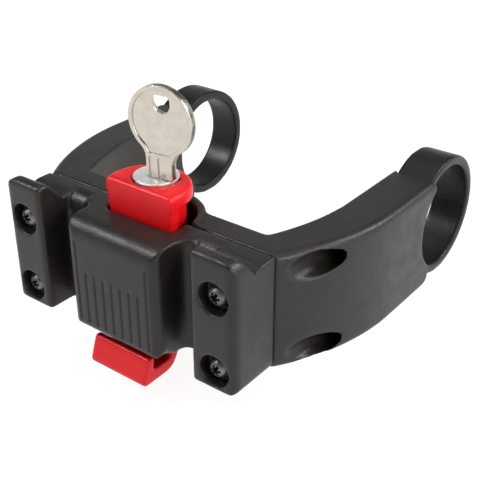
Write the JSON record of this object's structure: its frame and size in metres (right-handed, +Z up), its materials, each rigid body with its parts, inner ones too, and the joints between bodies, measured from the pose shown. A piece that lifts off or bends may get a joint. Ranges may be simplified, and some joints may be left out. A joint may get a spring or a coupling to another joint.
{
  "type": "handlebar bag adapter",
  "caption": "Quick-release catch for a handlebar bag, on two curved arms with strap clamps for a round bar, with a spring-loaded red release button, a key lock and a key.",
  "frame": {"origin": "middle of the handlebar's axis, halfway between the two clamp straps", "axes": "+X along the handlebar to the right as seen from the bag's side, +Y from the bag towards the rider, +Z up"},
  "size_m": [0.1068, 0.1104, 0.0811],
  "materials": {
    "housing_nylon": "fine-grained matt moulding",
    "bracket_nylon": "fine-grained matt moulding",
    "strap_nylon": "satin moulding",
    "clamp_screw_steel": "zinc plated",
    "insert_brass": "turned",
    "flange_screw_steel": "black zinc plated",
    "button_red": "semi-gloss moulding",
    "spring_steel": "drawn wire",
    "lock_chrome": "polished chrome plating",
    "cam_steel": "zinc plated",
    "wafer_brass": "stamped",
    "key_nickel": "nickel plated, stamped"
  },
  "bodies": {
    "adapter": {"front_housing": "housing_nylon", "arm_bracket": "bracket_nylon", "strap_right": "strap_nylon", "strap_left": "strap_nylon", "clamp_screw_upper_right": "clamp_screw_steel", "clamp_screw_lower_right": "clamp_screw_steel", "clamp_screw_upper_left": "clamp_screw_steel", "clamp_screw_lower_left": "clamp_screw_steel", "clamp_insert_upper_right": "insert_brass", "clamp_insert_lower_right": "insert_brass", "clamp_insert_upper_left": "insert_brass", "clamp_insert_lower_left": "insert_brass", "flange_screw_upper_right": "flange_screw_steel", "flange_screw_lower_right": "flange_screw_steel", "flange_screw_upper_left": "flange_screw_steel", "flange_screw_lower_left": "flange_screw_steel", "slider_spring": "spring_steel"},
    "release_button": {"release_slider": "button_red", "lock_barrel": "lock_chrome", "barrel_clip": "spring_steel"},
    "lock_core": {"lock_plug": "lock_chrome", "lock_cam": "cam_steel", "cam_screw": "cam_steel", "wafer_1": "wafer_brass", "wafer_2": "wafer_brass", "wafer_3": "wafer_brass", "wafer_4": "wafer_brass", "wafer_5": "wafer_brass"},
    "lock_key": {"key": "key_nickel"}
  },
  "joints": [
    {"name": "button_press", "type": "slide", "parent": "adapter", "child": "release_button", "axis": [0, 0, 1], "range_m": [-0.005, 0], "stiffness_N_per_m": 800, "springref_m": 0.004, "deforming": ["slider_spring"]},
    {"name": "lock_turn", "type": "hinge", "parent": "release_button", "child": "lock_core", "pos_m": [0, -0.0714, 0], "axis": [0, 0, 1], "range_deg": [0, 90]},
    {"name": "key_slide", "type": "slide", "parent": "lock_core", "child": "lock_key", "axis": [0, 0, 1], "range_m": [0, 0.019]}
  ]
}
